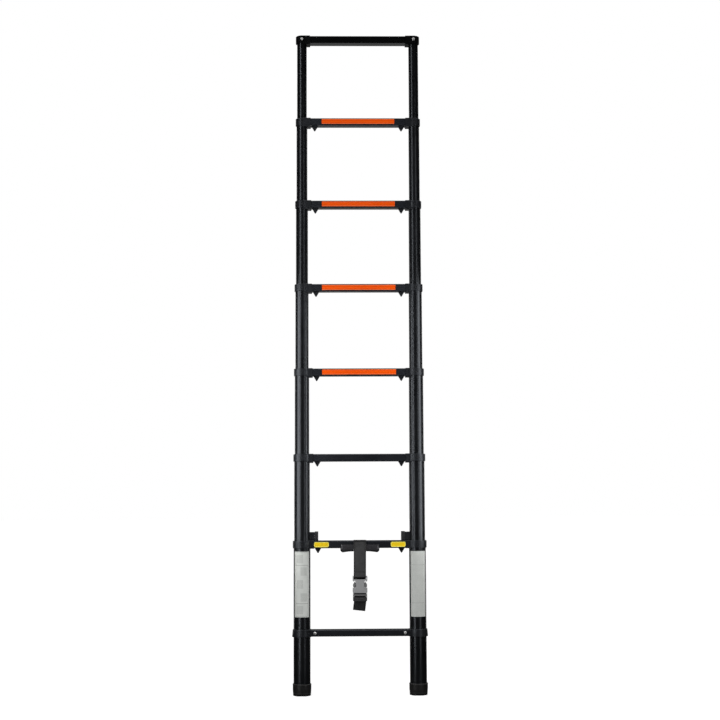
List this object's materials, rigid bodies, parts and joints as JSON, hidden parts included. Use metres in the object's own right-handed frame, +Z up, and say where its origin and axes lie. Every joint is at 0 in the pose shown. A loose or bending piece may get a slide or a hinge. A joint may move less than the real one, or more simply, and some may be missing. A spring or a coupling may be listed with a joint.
{
  "type": "telescopic ladder",
  "caption": "Two-stile aluminium ladder whose nested round tubes telescope downwards, with hollow rungs on plastic collars, lock plungers, release knobs and a buckled strap.",
  "frame": {"origin": "on the floor, midway between the two feet, under the middle of the tubes", "axes": "+Z up along the stiles, +X to the right as seen from the front, +Y to the back"},
  "size_m": [0.4624, 0.0674, 2.2931],
  "materials": {
    "black_aluminium": "satin",
    "black_plastic": "fine-grained matt",
    "black_rubber": "matt",
    "screw_steel": "bright",
    "orange_film": "retroreflective film",
    "yellow_plastic": "satin",
    "pale_film": "satin film",
    "black_webbing": "woven",
    "buckle_plastic": "satin"
  },
  "bodies": {
    "base": {"feet": "black_rubber", "tubes_1": "black_aluminium", "bottom_rung": "black_aluminium", "bottom_collars": "black_plastic", "rung_screws": "screw_steel", "rung_2": "black_aluminium", "collars_2": "black_plastic", "release_housings": "black_plastic", "release_plates": "yellow_plastic", "tube_labels": "pale_film", "strap_loop": "black_webbing", "strap_bundle": "black_webbing", "strap_webbing": "black_webbing", "buckle_socket": "buckle_plastic", "buckle_plug": "buckle_plastic"},
    "lock_plunger_left": {"plunger_2_left": "black_plastic"},
    "lock_plunger_right": {"plunger_2_right": "black_plastic"},
    "release_left": {"release_knob_left": "black_plastic"},
    "release_right": {"release_knob_right": "black_plastic"},
    "section_2": {"tubes_2": "black_aluminium", "rung_3": "black_aluminium", "collars_3": "black_plastic"},
    "plungers_3": {"plungers_3": "black_plastic"},
    "section_3": {"tubes_3": "black_aluminium", "rung_4": "black_aluminium", "collars_4": "black_plastic", "band_4": "orange_film"},
    "plungers_4": {"plungers_4": "black_plastic"},
    "section_4": {"tubes_4": "black_aluminium", "rung_5": "black_aluminium", "collars_5": "black_plastic", "band_5": "orange_film"},
    "plungers_5": {"plungers_5": "black_plastic"},
    "section_5": {"tubes_5": "black_aluminium", "rung_6": "black_aluminium", "collars_6": "black_plastic", "band_6": "orange_film"},
    "plungers_6": {"plungers_6": "black_plastic"},
    "section_6": {"tubes_6": "black_aluminium", "rung_7": "black_aluminium", "collars_7": "black_plastic", "band_7": "orange_film"},
    "plungers_7": {"plungers_7": "black_plastic"},
    "section_7": {"tubes_7": "black_aluminium", "rung_8": "black_aluminium", "top_caps": "black_plastic", "cap_screws": "screw_steel"}
  },
  "joints": [
    {"name": "section_2_slide", "type": "slide", "parent": "base", "child": "section_2", "axis": [0, 0, 1], "range_m": [-0.228, 0]},
    {"name": "plungers_3_slide", "type": "slide", "parent": "section_2", "child": "plungers_3", "axis": [0, 0, -1], "range_m": [-0.0119, 0]},
    {"name": "section_3_slide", "type": "slide", "parent": "section_2", "child": "section_3", "axis": [0, 0, 1], "range_m": [-0.2587, 0]},
    {"name": "plungers_4_slide", "type": "slide", "parent": "section_3", "child": "plungers_4", "axis": [0, 0, -1], "range_m": [-0.0119, 0]},
    {"name": "section_4_slide", "type": "slide", "parent": "section_3", "child": "section_4", "axis": [0, 0, 1], "range_m": [-0.2587, 0]},
    {"name": "plungers_5_slide", "type": "slide", "parent": "section_4", "child": "plungers_5", "axis": [0, 0, -1], "range_m": [-0.0119, 0]},
    {"name": "section_5_slide", "type": "slide", "parent": "section_4", "child": "section_5", "axis": [0, 0, 1], "range_m": [-0.2587, 0]},
    {"name": "plungers_6_slide", "type": "slide", "parent": "section_5", "child": "plungers_6", "axis": [0, 0, -1], "range_m": [-0.0119, 0]},
    {"name": "section_6_slide", "type": "slide", "parent": "section_5", "child": "section_6", "axis": [0, 0, 1], "range_m": [-0.2587, 0]},
    {"name": "plungers_7_slide", "type": "slide", "parent": "section_6", "child": "plungers_7", "axis": [0, 0, -1], "range_m": [-0.0119, 0]},
    {"name": "section_7_slide", "type": "slide", "parent": "section_6", "child": "section_7", "axis": [0, 0, 1], "range_m": [-0.2617, 0]},
    {"name": "lock_plunger_left_slide", "type": "slide", "parent": "base", "child": "lock_plunger_left", "axis": [0, 0, -1], "range_m": [-0.008, 0], "stiffness_N_per_m": 300, "springref_m": 0.01},
    {"name": "release_left_slide", "type": "slide", "parent": "base", "child": "release_left", "axis": [-1, 0, 0], "range_m": [-0.008, 0], "stiffness_N_per_m": 500, "springref_m": 0.01},
    {"name": "lock_plunger_right_slide", "type": "slide", "parent": "base", "child": "lock_plunger_right", "axis": [0, 0, -1], "range_m": [-0.008, 0], "stiffness_N_per_m": 300, "springref_m": 0.01},
    {"name": "release_right_slide", "type": "slide", "parent": "base", "child": "release_right", "axis": [1, 0, 0], "range_m": [-0.008, 0], "stiffness_N_per_m": 500, "springref_m": 0.01}
  ],
  "couplings": [
    {"joint": "plungers_3_slide", "follows": "section_2_slide", "ratio": 0.051754},
    {"joint": "plungers_4_slide", "follows": "section_3_slide", "ratio": 0.045613},
    {"joint": "plungers_5_slide", "follows": "section_4_slide", "ratio": 0.045613},
    {"joint": "plungers_6_slide", "follows": "section_5_slide", "ratio": 0.045613},
    {"joint": "plungers_7_slide", "follows": "section_6_slide", "ratio": 0.045613}
  ]
}
